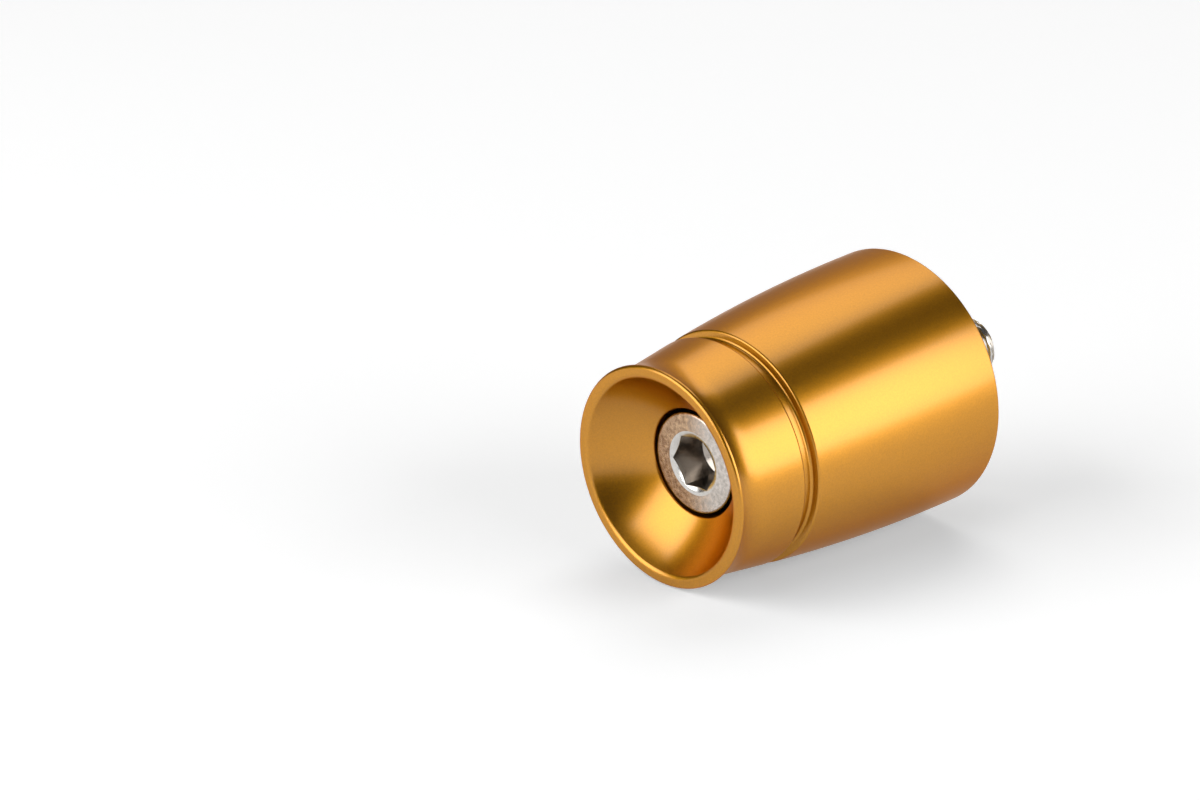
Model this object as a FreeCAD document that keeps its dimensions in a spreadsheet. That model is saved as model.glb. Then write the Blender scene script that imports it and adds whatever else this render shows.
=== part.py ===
import FreeCAD, Part
import math
import os
import Sketcher

# Bar end weight for a motorcycle handlebar, in millimetres: a weight turned from one aluminium
# bar, and the socket head cap screw that holds it to the handlebar.
# X runs along the handlebar. The seat face that meets the bar is at X = 0, the screw's thread
# points to +X, the open mouth faces -X, and Z is up.

doc = FreeCAD.newDocument("bar_end_weight")
sheet = doc.addObject("Spreadsheet::Sheet", "Sizes")

SIZES = [
    # Outside of the weight, from the seat face to the rim of the mouth
    ("base_diameter", 33.2),
    ("barrel_length", 30.45),
    ("barrel_drop", 1.97),
    ("nose_length", 11.35),
    ("nose_drop", 1.05),
    ("flare_length", 3.05),
    ("flare_radius", 8.0),
    ("groove_width", 2.0),
    ("groove_floor", 0.8),
    ("groove_depth", 0.9),
    # Mouth and screw hole
    ("lip_width", 1.58),
    ("mouth_depth", 5.9),
    ("dish_radius", 19.0),
    ("head_gap", 0.5),
    ("shank_gap", 0.25),
    # Broken edges of the weight
    ("seat_edge", 0.25),
    ("hole_edge", 0.5),
    ("barrel_edge", 0.3),
    ("nose_edge", 0.2),
    ("lip_outer_edge", 0.15),
    ("lip_inner_edge", 0.25),
    ("ledge_edge", 0.2),
    # Cap screw
    ("screw_size", 8.0),
    ("head_diameter", 12.8),
    ("head_height", 8.0),
    ("head_proud", 0.1),
    ("thread_reach", 13.6),
    ("thread_allowance", 0.4),
    ("thread_end_edge", 0.55),
    ("head_edge", 0.3),
    ("neck_edge", 0.2),
    # Hexagon socket in the head
    ("socket_flats", 6.1),
    ("socket_depth", 4.5),
    ("socket_turn", 56.0),
    ("socket_bottom_slope", 31.0),
    ("countersink_diameter", 8.0),
    ("countersink_slope", 30.0),
]

for row, (alias, number) in enumerate(SIZES, start=1):
    sheet.set("A%d" % row, alias)
    sheet.set("B%d" % row, str(number))
    sheet.setAlias("B%d" % row, alias)
doc.recompute()

# Distances from the seat face towards the mouth
RIM = "(Sizes.barrel_length + Sizes.nose_length)"
WAIST = "(" + RIM + " - Sizes.flare_length)"
LEDGE = "(" + RIM + " - Sizes.mouth_depth)"
HEAD_FACE = "(" + LEDGE + " + Sizes.head_proud)"
UNDER_HEAD = "(" + HEAD_FACE + " - Sizes.head_height)"
SOCKET_BOTTOM = "(" + HEAD_FACE + " - Sizes.socket_depth)"

# Radii about the X axis
BASE_R = "(Sizes.base_diameter / 2)"
NECK_R = "(" + BASE_R + " - Sizes.barrel_drop)"
WAIST_R = "(" + NECK_R + " - Sizes.nose_drop)"
FLARE_RISE = "(Sizes.flare_radius - sqrt(Sizes.flare_radius ^ 2 - Sizes.flare_length ^ 2))"
RIM_R = "(" + WAIST_R + " + " + FLARE_RISE + ")"
MOUTH_R = "(" + RIM_R + " - Sizes.lip_width)"
HEAD_R = "(Sizes.head_diameter / 2)"
SHANK_R = "(Sizes.screw_size / 2)"
THREAD_R = "(" + SHANK_R + " - Sizes.thread_allowance / 2)"
COUNTERBORE_R = "(" + HEAD_R + " + Sizes.head_gap)"
HOLE_R = "(" + SHANK_R + " + Sizes.shank_gap)"
SOCKET_R = "(Sizes.socket_flats / 2)"
COUNTERSINK_R = "(Sizes.countersink_diameter / 2)"

# Straight line across the dish, from the lip down to the ledge
DISH_FALL = "(" + MOUTH_R + " - " + COUNTERBORE_R + ")"
DISH_CHORD = "sqrt(Sizes.mouth_depth ^ 2 + " + DISH_FALL + " ^ 2)"
DISH_ARM = "sqrt(Sizes.dish_radius ^ 2 - (" + DISH_CHORD + " / 2) ^ 2)"

# The barrel's bow and the mouth's dish are cut in this many tapers, within 0.05 mm of the curve
BOW_TAPERS = 4
DISH_TAPERS = 3

START, END, CENTRE = 1, 2, 3
AXIS, UPRIGHT = -1, -2
NEAR = 0.01


def value(expression):
    return float(sheet.evalExpression(expression))


def vec(x, y):
    return FreeCAD.Vector(x, y, 0)


def new_body(label):
    body = doc.addObject("PartDesign::Body", label)
    body.Label = label
    body.Placement = FreeCAD.Placement()
    return body


def new_sketch(body, name, role):
    sketch = body.newObject("Sketcher::SketchObject", name)
    plane = next(item for item in body.Origin.OriginFeatures if item.Role == role)
    sketch.AttachmentSupport = [(plane, "")]
    sketch.MapMode = "FlatFace"
    return sketch


def add_line(sketch, start, end):
    return sketch.addGeometry(Part.LineSegment(vec(*start), vec(*end)), False)


def add_arc(sketch, centre, start, end):
    # Runs counterclockwise from start to end
    first, last = [math.atan2(p[1] - centre[1], p[0] - centre[0]) for p in (start, end)]
    circle = Part.Circle(vec(*centre), FreeCAD.Vector(0, 0, 1), math.dist(centre, start))
    turn = (last - first) % math.tau
    return sketch.addGeometry(Part.ArcOfCircle(circle, first, first + turn), False)


def add_circle(sketch, x, y, radius, construction=False):
    circle = Part.Circle(vec(x, y), FreeCAD.Vector(0, 0, 1), radius)
    return sketch.addGeometry(circle, construction)


def tie(sketch, kind, *places):
    return sketch.addConstraint(Sketcher.Constraint(kind, *places))


def drive(sketch, name, expression, kind, *places):
    # A named dimension of the sketch, read from the sheet
    index = tie(sketch, kind, *places, value(expression))
    sketch.renameConstraint(index, name)
    sketch.setExpression("Constraints." + name, expression)


def drive_point(sketch, name, geometry, point, x=None, y=None):
    if x:
        drive(sketch, name + "_x", x, "DistanceX", AXIS, START, geometry, point)
    if y:
        drive(sketch, name + "_r", y, "DistanceY", AXIS, START, geometry, point)


def polygon(sketch, corners):
    # Straight sides through named corners. No x is on the seat plane, no radius on the axis.
    places = [(value(x) if x else 0, value(y) if y else 0) for name, x, y in corners]
    count = len(corners)
    for i in range(count):
        add_line(sketch, places[i], places[(i + 1) % count])
    for i, (name, x, y) in enumerate(corners):
        tie(sketch, "Coincident", (i - 1) % count, END, i, START)
        drive_point(sketch, name, i, START, x, y)
        if not x:
            tie(sketch, "PointOnObject", i, START, UPRIGHT)
        if not y:
            tie(sketch, "PointOnObject", i, START, AXIS)


def turned(body, kind, name, sketch):
    # A full turn of the sketch about the X axis
    feature = body.newObject("PartDesign::" + kind, name)
    feature.Profile = (sketch, [""])
    feature.ReferenceAxis = (sketch, ["H_Axis"])
    feature.Angle = 360
    sketch.Visibility = False
    return cut_checked(body, feature) if kind == "Groove" else feature


def cut_checked(body, feature):
    before = feature.BaseFeature.Shape.Volume
    doc.recompute()
    if not feature.Shape.Volume < before - NEAR:
        raise RuntimeError(feature.Name + " cuts nothing")
    return feature


def pocket(body, name, sketch, depth=None):
    # Cut from the sketch towards +X, through all where no depth is given
    feature = body.newObject("PartDesign::Pocket", name)
    feature.Profile = (sketch, [""])
    feature.Reversed = True
    if depth:
        feature.setExpression("Length", depth)
    else:
        feature.Type = "ThroughAll"
    sketch.Visibility = False
    return cut_checked(body, feature)


def rings(feature, x, radius, near=NEAR):
    # Names of the edges that run round the X axis at this place
    found = []
    for number, edge in enumerate(feature.Shape.Edges, start=1):
        points = [] if edge.Degenerated else edge.discretize(6)
        off = [(p.x - x, math.hypot(p.y, p.z) - radius) for p in points]
        if off and all(max(abs(along), abs(out)) < near for along, out in off):
            found.append("Edge%d" % number)
    return found


def break_edge(body, name, feature, edges, amount):
    # A chamfer on edges of the feature before it
    if not edges:
        raise RuntimeError(name + " has no edge")
    chamfer = body.newObject("PartDesign::Chamfer", name)
    chamfer.Base = (feature, edges)
    chamfer.setExpression("Size", amount)
    doc.recompute()
    return chamfer


# The weight: the bowed barrel, the nose that narrows to a waist, and the flared rim
weight = new_body("weight_body")
outline = new_sketch(weight, "WeightOutline", "XZ_Plane")
seat_edge = (0, value(BASE_R))
neck = (-value("Sizes.barrel_length"), value(NECK_R))
rim_edge = (-value(RIM), value(RIM_R))
flare_centre = (-value(WAIST), value(WAIST_R) + value("Sizes.flare_radius"))

# The nose's straight side touches the flare where the line from the neck is tangent to it
reach = math.dist(neck, flare_centre)
aim = math.atan2(flare_centre[1] - neck[1], flare_centre[0] - neck[0])
swing = math.asin(value("Sizes.flare_radius") / reach)
side = math.sqrt(reach ** 2 - value("Sizes.flare_radius") ** 2)
touch = (neck[0] + side * math.cos(aim + swing), neck[1] + side * math.sin(aim + swing))

# The barrel's radius falls with the square of the distance from the seat face
bow = []
for i in range(BOW_TAPERS + 1):
    share = "%d / %d" % (i, BOW_TAPERS)
    bow.append(("-Sizes.barrel_length * " + share, BASE_R + " - Sizes.barrel_drop * (" + share + ") ^ 2"))
bow_points = [(value(x), value(r)) for x, r in bow]

seat = add_line(outline, (0, 0), seat_edge)
tapers = [add_line(outline, bow_points[i], bow_points[i + 1]) for i in range(BOW_TAPERS)]
slope = add_line(outline, neck, touch)
flare = add_arc(outline, flare_centre, rim_edge, touch)
rim = add_line(outline, rim_edge, (rim_edge[0], 0))
core = add_line(outline, (rim_edge[0], 0), (0, 0))
straight = [seat] + tapers + [slope]
for before, after in zip(straight, straight[1:]):
    tie(outline, "Coincident", before, END, after, START)
tie(outline, "Coincident", seat, START, AXIS, START)
tie(outline, "PointOnObject", seat, END, UPRIGHT)
tie(outline, "Tangent", slope, END, flare, END)
tie(outline, "Coincident", flare, START, rim, START)
tie(outline, "Vertical", rim)
tie(outline, "Coincident", rim, END, core, START)
tie(outline, "PointOnObject", rim, END, AXIS)
tie(outline, "Coincident", core, END, seat, START)
drive_point(outline, "seat_edge", seat, END, y=BASE_R)
for i, taper in enumerate(tapers, start=1):
    drive_point(outline, "bow_%d" % i, taper, END, *bow[i])
drive_point(outline, "flare", flare, CENTRE, x="-" + WAIST, y=WAIST_R + " + Sizes.flare_radius")
drive_point(outline, "rim", flare, START, x="-" + RIM)
drive(outline, "flare_radius", "Sizes.flare_radius", "Radius", flare)
blank = turned(weight, "Revolution", "WeightBlank", outline)
doc.recompute()

# Ring groove between the barrel and the nose, with sloping sides that run on past both
ring_sketch = new_sketch(weight, "RingSection", "XZ_Plane")
middle_x = "-Sizes.barrel_length"
top_half = "(Sizes.groove_width - Sizes.groove_floor / 2)"
top_r = NECK_R + " + Sizes.groove_depth"
floor_r = NECK_R + " - Sizes.groove_depth"
polygon(ring_sketch, [
    ("top_left", middle_x + " - " + top_half, top_r),
    ("floor_left", middle_x + " - Sizes.groove_floor / 2", floor_r),
    ("floor_right", middle_x + " + Sizes.groove_floor / 2", floor_r),
    ("top_right", middle_x + " + " + top_half, top_r),
])
ring_groove = turned(weight, "Groove", "RingGroove", ring_sketch)

# Dished mouth: a hollow curve from the lip down to the ledge round the screw head
dish = []
for i in range(DISH_TAPERS + 1):
    share = "(%d / %d)" % (i, DISH_TAPERS)
    across = "((" + share + " - 0.5) * " + DISH_CHORD + ")"
    hollow = "(sqrt(Sizes.dish_radius ^ 2 - " + across + " ^ 2) - " + DISH_ARM + ") / " + DISH_CHORD
    x = "-" + RIM + " + Sizes.mouth_depth * " + share + " + " + hollow + " * " + DISH_FALL
    r = MOUTH_R + " - " + DISH_FALL + " * " + share + " + " + hollow + " * Sizes.mouth_depth"
    dish.append(("dish_%d" % i, x, r))
dish_sketch = new_sketch(weight, "MouthSection", "XZ_Plane")
polygon(dish_sketch, dish + [("floor_middle", "-" + LEDGE, None), ("rim_middle", "-" + RIM, None)])
mouth = turned(weight, "Groove", "MouthDish", dish_sketch)

# Counterbore that the screw head sits in, and the clearance hole down to the seat face
bore_sketch = new_sketch(weight, "CounterboreCircle", "YZ_Plane")
bore_sketch.setExpression("AttachmentOffset.Base.z", "-" + LEDGE)
bore = add_circle(bore_sketch, 0, 0, value(COUNTERBORE_R))
tie(bore_sketch, "Coincident", bore, CENTRE, AXIS, START)
drive(bore_sketch, "bore_radius", COUNTERBORE_R, "Radius", bore)
counterbore = pocket(weight, "Counterbore", bore_sketch, LEDGE + " - " + UNDER_HEAD)

hole_sketch = new_sketch(weight, "HoleCircle", "YZ_Plane")
hole_sketch.setExpression("AttachmentOffset.Base.z", "-" + LEDGE)
hole = add_circle(hole_sketch, 0, 0, value(HOLE_R))
tie(hole_sketch, "Coincident", hole, CENTRE, AXIS, START)
drive(hole_sketch, "hole_radius", HOLE_R, "Radius", hole)
screw_hole = pocket(weight, "ScrewHole", hole_sketch)

# Broken edges, from the seat face to the mouth
last = screw_hole
half_ring = value("Sizes.groove_width") / 2
side_reach = half_ring / 2
WEIGHT_EDGES = [
    ("SeatEdge", 0, value(BASE_R), NEAR, "Sizes.seat_edge"),
    ("HoleEdge", 0, value(HOLE_R), NEAR, "Sizes.hole_edge"),
    ("BarrelEdge", neck[0] + half_ring, neck[1], side_reach, "Sizes.barrel_edge"),
    ("NoseEdge", neck[0] - half_ring, neck[1], side_reach, "Sizes.nose_edge"),
    ("LipOuterEdge", rim_edge[0], value(RIM_R), NEAR, "Sizes.lip_outer_edge"),
    ("LipInnerEdge", rim_edge[0], value(MOUTH_R), NEAR, "Sizes.lip_inner_edge"),
    ("LedgeEdge", -value(LEDGE), value(COUNTERBORE_R), NEAR, "Sizes.ledge_edge"),
]
for name, x, radius, near, amount in WEIGHT_EDGES:
    last = break_edge(weight, name, last, rings(last, x, radius, near), amount)

# The cap screw: head, plain shank, and the threaded end that stands out of the seat face. The
# thread is left plain, between its crests and its pitch line.
screw = new_body("cap_screw")
screw_outline = new_sketch(screw, "ScrewOutline", "XZ_Plane")
polygon(screw_outline, [
    ("face_middle", "-" + HEAD_FACE, None),
    ("face_edge", "-" + HEAD_FACE, HEAD_R),
    ("under_head_edge", "-" + UNDER_HEAD, HEAD_R),
    ("under_head_neck", "-" + UNDER_HEAD, SHANK_R),
    ("shank_end", None, SHANK_R),
    ("thread_start", None, THREAD_R),
    ("thread_end", "Sizes.thread_reach", THREAD_R),
    ("end_middle", "Sizes.thread_reach", None),
])
screw_blank = turned(screw, "Revolution", "ScrewBlank", screw_outline)
doc.recompute()

# Hexagon socket, its conical bottom, and the countersink round its corners
socket_sketch = new_sketch(screw, "SocketHexagon", "YZ_Plane")
socket_sketch.setExpression("AttachmentOffset.Base.z", "-" + HEAD_FACE)
corner_r = value(SOCKET_R) / math.cos(math.pi / 6)
first_corner = math.radians(value("Sizes.socket_turn"))
corners = []
for k in range(6):
    angle = first_corner + k * math.pi / 3
    corners.append((corner_r * math.cos(angle), corner_r * math.sin(angle)))
for k in range(6):
    add_line(socket_sketch, corners[k], corners[(k + 1) % 6])
circle = add_circle(socket_sketch, 0, 0, corner_r, construction=True)
spoke = socket_sketch.addGeometry(Part.LineSegment(vec(0, 0), vec(*corners[0])), True)
tie(socket_sketch, "Coincident", circle, CENTRE, AXIS, START)
tie(socket_sketch, "Coincident", spoke, START, AXIS, START)
tie(socket_sketch, "Coincident", spoke, END, 0, START)
for k in range(6):
    tie(socket_sketch, "Coincident", k, END, (k + 1) % 6, START)
    tie(socket_sketch, "PointOnObject", k, START, circle)
for k in range(1, 6):
    tie(socket_sketch, "Equal", 0, k)
drive(socket_sketch, "corner_radius", SOCKET_R + " / cos(30)", "Radius", circle)
index = tie(socket_sketch, "Angle", AXIS, START, spoke, START, first_corner)
socket_sketch.renameConstraint(index, "turn")
socket_sketch.setExpression("Constraints.turn", "Sizes.socket_turn * 1deg")
socket = pocket(screw, "HexSocket", socket_sketch, "Sizes.socket_depth")

bottom_sketch = new_sketch(screw, "SocketBottomSection", "XZ_Plane")
bottom_tip = SOCKET_BOTTOM + " - " + SOCKET_R + " * tan(Sizes.socket_bottom_slope)"
polygon(bottom_sketch, [
    ("bottom_middle", "-" + SOCKET_BOTTOM, None),
    ("bottom_edge", "-" + SOCKET_BOTTOM, SOCKET_R),
    ("bottom_tip", "-(" + bottom_tip + ")", None),
])
socket_bottom = turned(screw, "Groove", "SocketBottom", bottom_sketch)

sink_sketch = new_sketch(screw, "CountersinkSection", "XZ_Plane")
sink_tip = HEAD_FACE + " - " + COUNTERSINK_R + " * tan(Sizes.countersink_slope)"
polygon(sink_sketch, [
    ("face_middle", "-" + HEAD_FACE, None),
    ("sink_edge", "-" + HEAD_FACE, COUNTERSINK_R),
    ("sink_tip", "-(" + sink_tip + ")", None),
])
countersink = turned(screw, "Groove", "Countersink", sink_sketch)

last = countersink
SCREW_EDGES = [
    ("HeadEdge", -value(HEAD_FACE), value(HEAD_R), "Sizes.head_edge"),
    ("NeckEdge", -value(UNDER_HEAD), value(SHANK_R), "Sizes.neck_edge"),
    ("ThreadEnd", value("Sizes.thread_reach"), value(THREAD_R), "Sizes.thread_end_edge"),
]
for name, x, radius, amount in SCREW_EDGES:
    last = break_edge(screw, name, last, rings(last, x, radius), amount)

doc.recompute()
for item in doc.Objects:
    if "Invalid" in item.State or "Error" in item.State:
        raise RuntimeError(item.Name + " did not build")

os.makedirs("parts", exist_ok=True)
for body in (weight, screw):
    if body.Shape.isNull() or not body.Shape.isValid():
        raise RuntimeError(body.Label + " has no valid shape")
    body.Shape.exportStep("parts/%s.step" % body.Label)
    print(body.Label, "volume", round(body.Shape.Volume, 1), "solids", len(body.Shape.Solids))
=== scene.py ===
import bmesh
import bpy
import math
import numpy as np
from mathutils import Matrix, Vector


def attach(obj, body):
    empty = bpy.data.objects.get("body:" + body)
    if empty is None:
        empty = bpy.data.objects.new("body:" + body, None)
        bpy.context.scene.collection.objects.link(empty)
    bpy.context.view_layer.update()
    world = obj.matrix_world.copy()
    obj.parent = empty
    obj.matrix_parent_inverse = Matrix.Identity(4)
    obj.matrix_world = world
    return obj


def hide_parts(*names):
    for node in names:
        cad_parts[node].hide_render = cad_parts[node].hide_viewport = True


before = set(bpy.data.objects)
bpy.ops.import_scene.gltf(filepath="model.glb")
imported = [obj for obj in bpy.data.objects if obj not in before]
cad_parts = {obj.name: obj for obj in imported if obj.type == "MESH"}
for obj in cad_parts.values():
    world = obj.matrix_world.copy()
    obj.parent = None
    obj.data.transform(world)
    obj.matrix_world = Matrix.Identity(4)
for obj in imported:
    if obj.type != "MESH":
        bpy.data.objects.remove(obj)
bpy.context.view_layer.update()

scene = bpy.context.scene
scene.view_settings.view_transform = "Standard"

# The weight: one piece turned from aluminium bar and anodised gold. The barrel
# bows in to a ring groove, then the nose narrows to a flared rim round a dished
# mouth, where a counterbore takes the head of the screw.

# Sizes in mm. X is the axis, from 0 at the seat face to the rim on the minus side.
MM = 0.001
BASE_R = 16.590
BARREL_LENGTH = 30.45
BARREL_DROP = 1.97
BARREL_CURVE_START = -1.2
BARREL_CURVE_END = -28.4
BARREL_POINTS = 35
GROOVE_HALF_WIDTH = 1.0
GROOVE_FLOOR_HALF_WIDTH = 0.72
GROOVE_DEPTH = 0.9
NOSE_TOUCH = (-37.677, 13.652)
FLARE_CENTRE = (-38.75, 21.58)
FLARE_R = 8.0
FLARE_STEPS = 11
RIM_X = -41.8
RIM_R = 14.184
MOUTH_R = 12.6
DISH_CENTRE = (-51.745, -3.59)
DISH_R = 19.0
DISH_STEPS = 15
LEDGE_X = -35.9
COUNTERBORE_R = 6.9
COUNTERBORE_FLOOR = -28.0
HOLE_R = 4.25
HOLE_EDGE = 0.5
WEIGHT_SIDES = 256

# Radii of the rounded edges, and how each round is drawn
HOLE_ROUND = 0.08
SEAT_ROUND = 0.25
GROOVE_BARREL_ROUND = 0.32
GROOVE_FLOOR_ROUND = 0.42
GROOVE_NOSE_ROUND = 0.36
RIM_ROUND = 0.45
MOUTH_ROUND = 0.8
LEDGE_ROUND = 0.38
COUNTERBORE_ROUND = 0.2
ROUND_STEPS = 7
ROUND_GUARD = 0.05


def barrel_radius(x):
    return BASE_R - BARREL_DROP * (x / BARREL_LENGTH) ** 2


def along_arc(centre, radius, start, end, count):
    # Points from start to end on the arc, without its two ends
    first = math.atan2(start[1] - centre[1], start[0] - centre[0])
    last = math.atan2(end[1] - centre[1], end[0] - centre[0])
    angles = [first + (last - first) * i / count for i in range(1, count)]
    return [
        (centre[0] + radius * math.cos(a), centre[1] + radius * math.sin(a), 0)
        for a in angles
    ]


def section(corners, closed):
    # Turns corners (x, r, round) into points with outward directions. A round of 0
    # is a point on a curve. The section runs with the metal on its left.
    places = [Vector(c[:2]) for c in corners]
    count = len(corners)
    points, outward = [], []

    def put(place, direction):
        points.append(place)
        outward.append(Vector((direction.y, -direction.x)).normalized())

    for i, corner in enumerate(corners):
        here, amount = places[i], corner[2]
        if not closed and i in (0, count - 1):
            other = places[1] - here if i == 0 else here - places[-2]
            put(here, other)
            continue
        before = (here - places[i - 1]).normalized()
        after = (places[(i + 1) % count] - here).normalized()
        if not amount:
            put(here, before + after)
            continue
        turn = before.angle_signed(after)
        reach = amount * math.tan(abs(turn) / 2)
        start = here - before * reach
        side = Vector((-before.y, before.x)) * (-1 if turn > 0 else 1)
        centre = start + side * amount
        put(start - before * ROUND_GUARD, before)
        for k in range(ROUND_STEPS + 1):
            spin = Matrix.Rotation(-turn * k / ROUND_STEPS, 2)
            put(centre + spin @ (start - centre), spin @ before)
        put(here + after * (reach + ROUND_GUARD), after)
    return points, outward


def turned_mesh(name, points, outward, sides):
    # A closed ring of metal round the X axis, with its exact surface directions
    angles = np.arange(sides) * math.tau / sides
    ring = np.stack([np.cos(angles), np.sin(angles)], 1)
    line = np.array([p[:] for p in points]) * MM
    lean = np.array([o[:] for o in outward])
    shape = (len(line), sides, 3)
    verts, normals = np.empty(shape), np.empty(shape)
    verts[:, :, 0], normals[:, :, 0] = line[:, None, 0], lean[:, None, 0]
    verts[:, :, 1:] = line[:, 1][:, None, None] * ring
    normals[:, :, 1:] = lean[:, 1][:, None, None] * ring
    index = np.arange(len(line) * sides).reshape(len(line), sides)
    across, round_ = np.roll(index, -1, 0), np.roll(index, -1, 1)
    both = np.roll(across, -1, 1)
    faces = np.stack([index, across, both, round_], 2).reshape(-1, 4)
    mesh = bpy.data.meshes.new(name)
    mesh.from_pydata(verts.reshape(-1, 3).tolist(), [], faces.tolist())
    mesh.shade_smooth()
    mesh.normals_split_custom_set_from_vertices(normals.reshape(-1, 3).tolist())
    return mesh


def add_object(name, data):
    item = bpy.data.objects.new(name, data)
    scene.collection.objects.link(item)
    return item


barrel_places = np.linspace(BARREL_CURVE_START, BARREL_CURVE_END, BARREL_POINTS).tolist()
groove_start = -BARREL_LENGTH + GROOVE_HALF_WIDTH
groove_end = -BARREL_LENGTH - GROOVE_HALF_WIDTH
neck_r = barrel_radius(-BARREL_LENGTH)
nose_slope = (neck_r - NOSE_TOUCH[1]) / (-BARREL_LENGTH - NOSE_TOUCH[0])
rim, mouth, ledge = (RIM_X, RIM_R), (RIM_X, MOUTH_R), (LEDGE_X, COUNTERBORE_R)
flare = along_arc(FLARE_CENTRE, FLARE_R, NOSE_TOUCH, rim, FLARE_STEPS)
dish = along_arc(DISH_CENTRE, DISH_R, mouth, ledge, DISH_STEPS)
# The rounds at the rim take up the last point of the flare and the first of the dish
weight_corners = [
    (0, HOLE_R + HOLE_EDGE, HOLE_ROUND),
    (0, BASE_R, SEAT_ROUND),
    *[(x, barrel_radius(x), 0) for x in barrel_places],
    (groove_start, barrel_radius(groove_start), GROOVE_BARREL_ROUND),
    (-BARREL_LENGTH + GROOVE_FLOOR_HALF_WIDTH, neck_r - GROOVE_DEPTH, GROOVE_FLOOR_ROUND),
    (-BARREL_LENGTH - GROOVE_FLOOR_HALF_WIDTH, neck_r - GROOVE_DEPTH, GROOVE_FLOOR_ROUND),
    (groove_end, neck_r - nose_slope * GROOVE_HALF_WIDTH, GROOVE_NOSE_ROUND),
    (*NOSE_TOUCH, 0),
    *flare[:-1],
    (*rim, RIM_ROUND),
    (*mouth, MOUTH_ROUND),
    *dish[1:],
    (*ledge, LEDGE_ROUND),
    (COUNTERBORE_FLOOR, COUNTERBORE_R, COUNTERBORE_ROUND),
    (COUNTERBORE_FLOOR, HOLE_R, COUNTERBORE_ROUND),
    (-HOLE_EDGE, HOLE_R, HOLE_ROUND),
]
weight = add_object("turned_weight", turned_mesh(
    "turned_weight", *section(weight_corners, closed=True), sides=WEIGHT_SIDES))


def add_material(name):
    # A material and its node tree
    material = bpy.data.materials.new(name)
    material.use_nodes = True
    return material, material.node_tree


def add_node(tree, kind, **values):
    node = tree.nodes.new(kind)
    for name, value in values.items():
        setattr(node, name, value)
    return node


def feed(tree, source, target, socket=0):
    # Gives an input a number, a colour, a socket, or the first output of a node
    if isinstance(source, bpy.types.Node):
        source = source.outputs[0]
    if isinstance(source, bpy.types.NodeSocket):
        tree.links.new(source, target.inputs[socket])
    else:
        target.inputs[socket].default_value = source


def calculate(tree, operation, *terms):
    # One step of sums on sockets or numbers
    node = add_node(tree, "ShaderNodeMath", operation=operation)
    for slot, term in enumerate(terms):
        feed(tree, term, node, slot)
    return node.outputs[0]


def split(tree, place):
    # The X, Y and Z of a place
    node = add_node(tree, "ShaderNodeSeparateXYZ")
    feed(tree, place, node)
    return node.outputs


def joined(tree, *parts):
    # A place from its X, Y and Z
    node = add_node(tree, "ShaderNodeCombineXYZ")
    for axis, part in zip("XYZ", parts):
        feed(tree, part, node, axis)
    return node


def from_axis(tree, parts):
    # How far a place is from the X axis, on which both pieces are turned
    squares = [calculate(tree, "POWER", parts[axis], 2) for axis in "YZ"]
    return calculate(tree, "SQRT", calculate(tree, "ADD", *squares))


def noise(tree, place, scale, detail, roughness=0.5):
    # Cloudy values round 0.5, finer with a greater scale
    node = add_node(tree, "ShaderNodeTexNoise")
    feed(tree, place, node, "Vector")
    feed(tree, scale, node, "Scale")
    feed(tree, detail, node, "Detail")
    feed(tree, roughness, node, "Roughness")
    return node.outputs["Fac"]


def spread(tree, source, low, high, start=0.3, stop=0.7):
    # Brings a value between two limits. Nearly all of a noise lies from 0.3 to 0.7.
    node = add_node(tree, "ShaderNodeMapRange")
    feed(tree, source, node, "Value")
    feed(tree, start, node, "From Min")
    feed(tree, stop, node, "From Max")
    feed(tree, low, node, "To Min")
    feed(tree, high, node, "To Max")
    return node.outputs["Result"]


def blend(tree, share, first, second, kind="RGBA"):
    # Goes from a first to a second colour or value as the share goes from 0 to 1
    node = add_node(tree, "ShaderNodeMix", data_type=kind)
    feed(tree, share, node, "Factor")
    feed(tree, first, node, "A")
    feed(tree, second, node, "B")
    return node.outputs["Result"]


def raised(tree, source, height, below=None):
    # Bump of a real height in metres, laid over another bump if one is given
    node = add_node(tree, "ShaderNodeBump")
    feed(tree, source, node, "Height")
    feed(tree, height, node, "Distance")
    feed(tree, 1.0, node, "Strength")
    if below:
        feed(tree, below, node, "Normal")
    return node.outputs["Normal"]


# Tool marks that run round the axis of a turned piece: fine rings, uneven in depth
RING_DRIFT = 0.004
rings = bpy.data.node_groups.new("turning_rings", "ShaderNodeTree")
rings.interface.new_socket("Place", in_out="INPUT", socket_type="NodeSocketVector")
rings.interface.new_socket("Fineness", in_out="INPUT", socket_type="NodeSocketFloat")
rings.interface.new_socket("Height", in_out="OUTPUT", socket_type="NodeSocketFloat")
ring_in = add_node(rings, "NodeGroupInput").outputs
parts = split(rings, ring_in["Place"])
drift = calculate(rings, "MULTIPLY", parts["Z"], RING_DRIFT)
ring_place = joined(rings, parts["X"], from_axis(rings, parts), drift)
ring_noise = noise(rings, ring_place, ring_in["Fineness"], detail=4, roughness=0.65)
feed(rings, ring_noise, add_node(rings, "NodeGroupOutput"), "Height")

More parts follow.
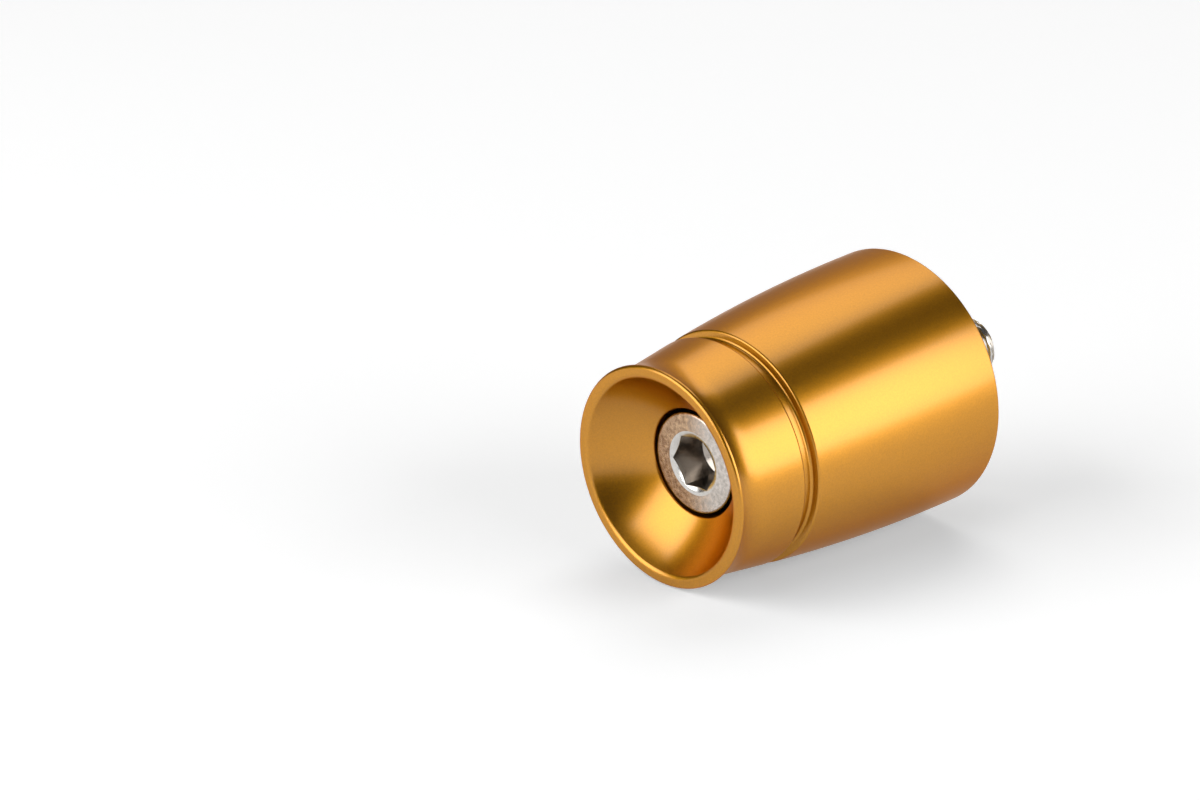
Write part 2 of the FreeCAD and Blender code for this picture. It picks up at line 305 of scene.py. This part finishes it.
# Anodised aluminium: dyed oxide over fine turned metal, satin, with a clear skin
GOLD_DARK = (0.51, 0.210, 0.002, 1)
GOLD_LIGHT = (0.60, 0.254, 0.004, 1)
GOLD_EDGE = (0.7, 0.42, 0.2, 1)
GOLD_IN_GOLD = (0.44, 0.250, 0.010, 1)
GREY_FOR_TABLE = (0.12, 0.12, 0.12, 1)
TOOL_MARK_HEIGHT = 0.0000002
SATIN_HEIGHT = 0.0000012
gold, tree = add_material("gold_anodised")
shader = tree.nodes["Principled BSDF"]
shader.inputs["Metallic"].default_value = 1.0
shader.inputs["Anisotropic"].default_value = 0.2
shader.inputs["Specular Tint"].default_value = GOLD_EDGE
shader.inputs["Coat Roughness"].default_value = 0.2
shader.inputs["Coat IOR"].default_value = 1.52
place = add_node(tree, "ShaderNodeTexCoord").outputs["Object"]
marks = add_node(tree, "ShaderNodeGroup", node_tree=rings)
feed(tree, place, marks, "Place")
feed(tree, 7000, marks, "Fineness")
satin = noise(tree, place, scale=4600, detail=3)
tone = blend(tree, spread(tree, satin, low=0, high=1), GOLD_DARK, GOLD_LIGHT)
# Metal mirrored in metal comes back paler, and the table gets only grey light back
# from it, so that the shadow stays neutral
light_path = add_node(tree, "ShaderNodeLightPath").outputs
mirrored = blend(tree, light_path["Is Glossy Ray"], tone, GOLD_IN_GOLD)
plain = blend(tree, light_path["Is Diffuse Ray"], mirrored, GREY_FOR_TABLE)
feed(tree, plain, shader, "Base Color")
feed(tree, spread(tree, satin, low=0.31, high=0.36), shader, "Roughness")
# The clear skin shines less at a flat angle than glass would
edge_on = add_node(tree, "ShaderNodeLayerWeight")
feed(tree, 0.5, edge_on, "Blend")
clear_skin = spread(tree, edge_on.outputs["Facing"], low=1.0, high=0.3, start=0.2, stop=0.65)
feed(tree, clear_skin, shader, "Coat Weight")
mark_normal = raised(tree, marks.outputs["Height"], TOOL_MARK_HEIGHT)
feed(tree, raised(tree, satin, SATIN_HEIGHT, mark_normal), shader, "Normal")
lathe_way = add_node(tree, "ShaderNodeTangent", direction_type="RADIAL", axis="X")
feed(tree, lathe_way, shader, "Tangent")
weight.data.materials.append(gold)

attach(weight, "root")
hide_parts("weight_body")

# The cap screw: forged stainless steel with a hexagon socket, a plain shank
# through the weight, and a rolled M8 thread that stands out of the seat face.

# Sizes in mm, on the same axis as the weight
HEAD_FACE = -36.0
HEAD_R = 6.4
HEAD_ROUND = 0.35
UNDER_HEAD = -28.0
UNDER_HEAD_ROUND = 0.2
SHANK_R = 4.0
SHANK_ROUND = 0.15
SINK_R = 4.06
SINK_ROUND = 0.08
SINK_RING_R = SINK_R - 0.1
SINK_START_SLOPE = 0.12
SINK_CURVE = 0.34
SOCKET_FLATS = 6.3
SOCKET_TURN = math.radians(56)
SOCKET_LIP = 0.05
SOCKET_LIP_STEPS = 5
SOCKET_FLOOR = -31.5
SOCKET_DRILL_R = SOCKET_FLATS / 2 - 0.12
SOCKET_DRILL_SLOPE = math.tan(math.radians(31))
THREAD_CREST = 3.95
THREAD_ROOT = 3.3
THREAD_PITCH = 1.25
THREAD_END = 13.6
THREAD_TIP_R = 3.25
TIP_RING = 0.3
SCREW_SIDES = 120

screw_angles = [SOCKET_TURN + k * math.tau / SCREW_SIDES for k in range(SCREW_SIDES)]
# How far the six flats are from the axis at each of these angles
hexagon = []
for k in range(SCREW_SIDES):
    from_middle = (k * 360 / SCREW_SIDES) % 60 - 30
    hexagon.append(SOCKET_FLATS / 2 / math.cos(math.radians(from_middle)))


def sink_depth(r):
    # The countersink starts almost flat and steepens towards the hexagon
    gap = SINK_R - r
    return HEAD_FACE + gap * (SINK_START_SLOPE + SINK_CURVE * gap)


# Rings of the screw from the start of the thread to the tip of the socket's floor
blank, _ = section([
    (0, THREAD_ROOT, 0),
    (0, SHANK_R, SHANK_ROUND),
    (UNDER_HEAD, SHANK_R, UNDER_HEAD_ROUND),
    (UNDER_HEAD, HEAD_R, UNDER_HEAD_ROUND),
    (HEAD_FACE, HEAD_R, HEAD_ROUND),
    (HEAD_FACE, SINK_R, SINK_ROUND),
    (sink_depth(SINK_RING_R), SINK_RING_R, 0),
], closed=False)
screw_rings = [[(p.x, p.y)] * SCREW_SIDES for p in blank[:-1]]
for share in (0.25, 0.5, 0.75):
    # From the round edge in to the hexagon
    radii = [SINK_RING_R + (r + SOCKET_LIP - SINK_RING_R) * share for r in hexagon]
    screw_rings.append([(sink_depth(r), r) for r in radii])
for step in range(SOCKET_LIP_STEPS + 1):
    # The edge between the countersink and the six flats, with its burr taken off
    swing = step / SOCKET_LIP_STEPS
    out, down = SOCKET_LIP * (1 - swing) ** 2, SOCKET_LIP * swing ** 2
    screw_rings.append([(sink_depth(r + out) + down, r + out) for r in hexagon])
screw_rings.append([(SOCKET_FLOOR - SOCKET_LIP, r) for r in hexagon])
screw_rings.append([(SOCKET_FLOOR, r - SOCKET_LIP) for r in hexagon])
for share in (1.0, 0.97, 0.66, 0.33, 0.04):
    # The cone that the drill left in the floor
    x = SOCKET_FLOOR + SOCKET_DRILL_R * (1 - share) * SOCKET_DRILL_SLOPE
    screw_rings.append([(x, SOCKET_DRILL_R * share)] * SCREW_SIDES)
tip_radii = (TIP_RING, THREAD_TIP_R - TIP_RING, THREAD_TIP_R)
tip_rings = [[(THREAD_END, r)] * SCREW_SIDES for r in tip_radii]


def add_rings(bm, ring_list, closed_end):
    # Skins the rings one after another, and closes the first (0) or the last (-1)
    # with a point in its middle
    made = []
    for ring in ring_list:
        made.append([
            bm.verts.new((x * MM, r * MM * math.cos(a), r * MM * math.sin(a)))
            for (x, r), a in zip(ring, screw_angles)
        ])
    middle = bm.verts.new((ring_list[closed_end][0][0] * MM, 0, 0))
    end = made[closed_end]
    for k in range(SCREW_SIDES):
        n = (k + 1) % SCREW_SIDES
        for near, far in zip(made, made[1:]):
            bm.faces.new((near[k], far[k], far[n], near[n]))
        bm.faces.new((middle, end[k], end[n]))


# Stainless steel: forged head with a fine dull grain, brighter where it was cut
CUT_DARK = (0.56, 0.54, 0.51, 1)
CUT_LIGHT = (0.68, 0.66, 0.63, 1)
SOCKET_PAINTED_SHADE = (0.40, 0.36, 0.32, 1)
SKIN_DARK = (0.42, 0.38, 0.34, 1)
SKIN_LIGHT = (0.76, 0.70, 0.65, 1)
PAINTED_GOLD_REFLECTION_DARK = (0.22, 0.12, 0.07, 1)
PAINTED_GOLD_REFLECTION_LIGHT = (0.70, 0.49, 0.31, 1)
GRAIN_HEIGHT = 0.00005
# Their borders in mm: how far the skin stays off the countersink and runs past the
# head, the depths between which painted shade darkens the socket, and the places
# across the head where a painted gold reflection browns the skin, with a ragged border
SKIN_GAP = 0.02
SKIN_OVERRUN = 0.1
SHADE_START = 0.3
SHADE_FULL = 0.9
REFLECTION_START = -3.0
REFLECTION_FULL = 1.0
REFLECTION_RAGGED = 0.8
steel, tree = add_material("stainless_steel")
shader = tree.nodes["Principled BSDF"]
shader.inputs["Metallic"].default_value = 1.0
place = add_node(tree, "ShaderNodeTexCoord").outputs["Object"]
spot = split(tree, place)
grain = noise(tree, place, scale=1700, detail=5, roughness=0.75)
speckle = spread(tree, grain, low=0, high=1, start=0.33, stop=0.67)
# The cut metal of countersink and socket, with painted shade that darkens it deeper in the
# socket
shade_by_depth = spread(
    tree, spot["X"], low=0, high=1,
    start=(HEAD_FACE + SHADE_START) * MM, stop=(HEAD_FACE + SHADE_FULL) * MM)
in_head = calculate(tree, "LESS_THAN", spot["X"], UNDER_HEAD * MM)
# Painted shade: the cut tone goes darker the deeper it lies in the socket
painted_shade = calculate(tree, "MULTIPLY", shade_by_depth, in_head)
cut_tone = blend(tree, painted_shade, blend(tree, speckle, CUT_DARK, CUT_LIGHT), SOCKET_PAINTED_SHADE)
# The head's outside keeps its forged skin, which is duller, with a painted reflection of the
# gold mouth that browns it on one side
off_cut = calculate(tree, "GREATER_THAN", from_axis(tree, spot), (SINK_R + SKIN_GAP) * MM)
on_head = calculate(tree, "LESS_THAN", spot["X"], (UNDER_HEAD + SKIN_OVERRUN) * MM)
forged = calculate(tree, "MULTIPLY", off_cut, on_head)
ragged = spread(tree, grain, low=-REFLECTION_RAGGED * MM, high=REFLECTION_RAGGED * MM)
# Painted reflection: a warm brown laid over one side of the head for the gold it mirrors
painted_reflection = spread(
    tree, calculate(tree, "ADD", spot["Y"], ragged), low=0, high=1,
    start=REFLECTION_START * MM, stop=REFLECTION_FULL * MM)
skin_and_reflection_tone = blend(
    tree, painted_reflection,
    blend(tree, speckle, SKIN_DARK, SKIN_LIGHT),
    blend(tree, speckle, PAINTED_GOLD_REFLECTION_DARK, PAINTED_GOLD_REFLECTION_LIGHT))
feed(tree, blend(tree, forged, cut_tone, skin_and_reflection_tone), shader, "Base Color")
cut_roughness = spread(tree, grain, low=0.18, high=0.26)
skin_roughness = spread(tree, grain, low=0.14, high=0.22)
shine = blend(tree, forged, cut_roughness, skin_roughness, kind="FLOAT")
feed(tree, shine, shader, "Roughness")
skin_normal = raised(tree, grain, GRAIN_HEIGHT)
feed(tree, forged, skin_normal.node, "Strength")
feed(tree, skin_normal, shader, "Normal")

# The thread: one helical ridge that fades in at the shank and runs out over the
# chamfered tip. Between these two shares of the way from crest to root it slopes, and
# outside them it is flat.
FLANK_START = 0.125
FLANK_END = 0.75
FADE_TURNS = 0.8
helix = bpy.data.node_groups.new("rolled_thread", "GeometryNodeTree")
helix.is_modifier = True
sizes = {}
for name, kind, start in (
    ("Crest Radius", "NodeSocketFloat", THREAD_CREST * MM),
    ("Root Radius", "NodeSocketFloat", THREAD_ROOT * MM),
    ("Tip Radius", "NodeSocketFloat", THREAD_TIP_R * MM),
    ("Pitch", "NodeSocketFloat", THREAD_PITCH * MM),
    ("Length", "NodeSocketFloat", THREAD_END * MM),
    ("First Angle", "NodeSocketFloat", SOCKET_TURN),
    ("Sides", "NodeSocketInt", SCREW_SIDES),
    ("Steps per Turn", "NodeSocketInt", 16),
    ("Metal", "NodeSocketMaterial", None),
):
    socket = helix.interface.new_socket(name, in_out="INPUT", socket_type=kind)
    if start is not None:
        socket.default_value = start
    sizes[name] = socket.identifier
helix.interface.new_socket("Geometry", in_out="OUTPUT", socket_type="NodeSocketGeometry")
value = add_node(helix, "NodeGroupInput").outputs

# A flat net, one unit wide and long, with a column for each side and its rows along
# the length
net = add_node(helix, "GeometryNodeMeshGrid")
feed(helix, 1, net, "Size X")
feed(helix, 1, net, "Size Y")
feed(helix, calculate(helix, "ADD", value["Sides"], 1), net, "Vertices X")
turns = calculate(helix, "DIVIDE", value["Length"], value["Pitch"])
steps = calculate(helix, "CEIL", calculate(helix, "MULTIPLY", turns, value["Steps per Turn"]))
feed(helix, calculate(helix, "ADD", steps, 1), net, "Vertices Y")
flat = split(helix, add_node(helix, "GeometryNodeInputPosition"))
around = calculate(helix, "ADD", flat["X"], 0.5)
length_share = calculate(helix, "ADD", flat["Y"], 0.5)

# The ridge's height at each point of the net, and the radius that it comes to
along = calculate(helix, "MULTIPLY", length_share, value["Length"])
turns_along = calculate(helix, "DIVIDE", along, value["Pitch"])
wave = calculate(helix, "FRACT", calculate(helix, "SUBTRACT", turns_along, around))
doubled = calculate(helix, "MULTIPLY", wave, 2)
from_crest = calculate(helix, "ABSOLUTE", calculate(helix, "SUBTRACT", doubled, 1))
ridge = spread(helix, from_crest, low=1, high=0, start=FLANK_START, stop=FLANK_END)
fade = spread(helix, turns_along, low=0, high=1, start=0, stop=FADE_TURNS)
height = calculate(helix, "MULTIPLY", ridge, fade)
depth = calculate(helix, "SUBTRACT", value["Crest Radius"], value["Root Radius"])
rise = calculate(helix, "MULTIPLY", height, depth)
full = calculate(helix, "ADD", value["Root Radius"], rise)
to_tip = calculate(helix, "SUBTRACT", value["Length"], along)
chamfer = calculate(helix, "ADD", value["Tip Radius"], to_tip)
radius = calculate(helix, "MINIMUM", full, chamfer)

# The net is bent round the axis, and its seam is closed
turned_by = calculate(helix, "MULTIPLY", around, math.tau)
angle = calculate(helix, "ADD", turned_by, value["First Angle"])
bend = add_node(helix, "GeometryNodeSetPosition")
feed(helix, net, bend, "Geometry")
feed(helix, joined(
    helix, along,
    calculate(helix, "MULTIPLY", radius, calculate(helix, "COSINE", angle)),
    calculate(helix, "MULTIPLY", radius, calculate(helix, "SINE", angle)),
), bend, "Position")
SEAM_GAP = 0.000001
weld = add_node(helix, "GeometryNodeMergeByDistance")
feed(helix, bend, weld, "Geometry")
feed(helix, SEAM_GAP, weld, "Distance")
whole = add_node(helix, "GeometryNodeRealizeInstances")
feed(helix, weld, whole, "Geometry")
coat = add_node(helix, "GeometryNodeSetMaterial")
feed(helix, whole, coat, "Geometry")
feed(helix, value["Metal"], coat, "Material")
feed(helix, coat, add_node(helix, "NodeGroupOutput"))

thread = add_object("thread", bpy.data.meshes.new("thread"))
threading = thread.modifiers.new("rolled_thread", "NODES")
threading.node_group = helix
threading[sizes["Metal"]] = steel
graph = bpy.context.evaluated_depsgraph_get()
thread_mesh = bpy.data.meshes.new_from_object(thread.evaluated_get(graph))
thread.modifiers.remove(threading)
bpy.data.objects.remove(thread)

# Thread, head and tip are joined at their shared rings
RING_GAP = 0.000002
SHARP_ANGLE = math.radians(28)
bm = bmesh.new()
bm.from_mesh(thread_mesh)
add_rings(bm, screw_rings, closed_end=-1)
add_rings(bm, tip_rings, closed_end=0)
bmesh.ops.remove_doubles(bm, verts=bm.verts, dist=RING_GAP)
bmesh.ops.recalc_face_normals(bm, faces=bm.faces)
screw_mesh = bpy.data.meshes.new("cap_screw_steel")
bm.to_mesh(screw_mesh)
bm.free()
screw_mesh.shade_smooth()
screw_mesh.set_sharp_from_angle(angle=SHARP_ANGLE)
screw_mesh.materials.append(steel)
screw = add_object("socket_head_screw", screw_mesh)
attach(screw, "root")
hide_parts("cap_screw")

# The studio: a white table that the weight lies on, a bright softbox on either side
# of it, a smaller one over the back with a dim wall below it, and the camera.

# The weight rests on its rim and on the barrel, so the table leans by this angle
REST_LEAN = math.radians(4.33)
REST_POINT = Vector((-41.65, 0, -14.12)) * MM
table_up = Vector((math.sin(REST_LEAN), 0, math.cos(REST_LEAN)))
table_x = Vector((math.cos(REST_LEAN), 0, -math.sin(REST_LEAN)))
table_y = Vector((0, 1, 0))

TABLE_REACH = 4.0
TABLE_WHITE = (0.9, 0.9, 0.9, 1)
TABLE_GLOW = 0.28
table = add_object("table", bpy.data.meshes.new("table"))
table.data.from_pydata([
    REST_POINT + table_x * a * TABLE_REACH + table_y * b * TABLE_REACH
    for a, b in ((-1, -1), (1, -1), (1, 1), (-1, 1))
], [], [(0, 1, 2, 3)])

# White paint that the camera and the metal see a little brighter than it is lit
white, tree = add_material("table_white")
tree.nodes.remove(tree.nodes["Principled BSDF"])
paint = add_node(tree, "ShaderNodeBsdfDiffuse")
feed(tree, TABLE_WHITE, paint, "Color")
path = add_node(tree, "ShaderNodeLightPath").outputs
through = calculate(tree, "MAXIMUM", path["Is Glossy Ray"], path["Is Transmission Ray"])
seen = calculate(tree, "MAXIMUM", path["Is Camera Ray"], through)
glow = add_node(tree, "ShaderNodeEmission")
feed(tree, calculate(tree, "MULTIPLY", seen, TABLE_GLOW), glow, "Strength")
both = add_node(tree, "ShaderNodeAddShader")
feed(tree, paint, both, 0)
feed(tree, glow, both, 1)
feed(tree, both, tree.nodes["Material Output"], "Surface")
table.data.materials.append(white)

# The softboxes face this point of the weight, and take this many watts for each
# square metre at a brightness of 1
LIT_POINT = Vector((-14, 0, 0)) * MM
WATTS_PER_AREA = 4


def softbox(name, azimuth, elevation, distance, width, height, brightness):
    # A flat lamp that faces the weight, placed by its direction over the table
    turn, rise = math.radians(azimuth), math.radians(elevation)
    level = table_x * math.cos(turn) + table_y * math.sin(turn)
    away = level * math.cos(rise) + table_up * math.sin(rise)
    lamp = bpy.data.lights.new(name, "AREA")
    lamp.shape = "RECTANGLE"
    lamp.size, lamp.size_y = width, height
    lamp.energy = WATTS_PER_AREA * width * height * brightness
    box = add_object(name, lamp)
    box.location = LIT_POINT + away * distance
    box.rotation_mode = "QUATERNION"
    box.rotation_quaternion = away.to_track_quat("Z", "Y")


softbox("right_softbox", azimuth=-69, elevation=18.5, distance=0.70,
        width=0.74, height=0.50, brightness=2.65)
softbox("left_softbox", azimuth=163, elevation=28, distance=0.70,
        width=0.78, height=0.62, brightness=2.4)
softbox("back_softbox", azimuth=38, elevation=57, distance=0.70,
        width=0.50, height=0.50, brightness=1.40)
softbox("back_wall", azimuth=50, elevation=18, distance=0.80,
        width=0.76, height=0.50, brightness=0.36)

AIR_WHITE = (1, 1, 1, 1)
AIR_BRIGHTNESS = 0.05
world = bpy.data.worlds.new("studio")
scene.world = world
world.use_nodes = True
air = world.node_tree.nodes["Background"]
air.inputs["Color"].default_value = AIR_WHITE
air.inputs["Strength"].default_value = AIR_BRIGHTNESS

CAMERA_PLACE = (-0.37632, -0.36488, 0.21723)
CAMERA_LOOK = Vector((0.61467, 0.6882, -0.38543))
CAMERA_UP = Vector((0.2944, 0.25316, 0.92154))
SENSOR_WIDTH = 36
LENS = 136.28
camera = add_object("camera", bpy.data.cameras.new("camera"))
camera.data.sensor_width = SENSOR_WIDTH
camera.data.lens = LENS
side = CAMERA_LOOK.cross(CAMERA_UP).normalized()
above = side.cross(CAMERA_LOOK).normalized()
camera_turn = Matrix((side, above, -CAMERA_LOOK)).transposed().to_4x4()
camera.matrix_world = Matrix.Translation(CAMERA_PLACE) @ camera_turn
scene.camera = camera
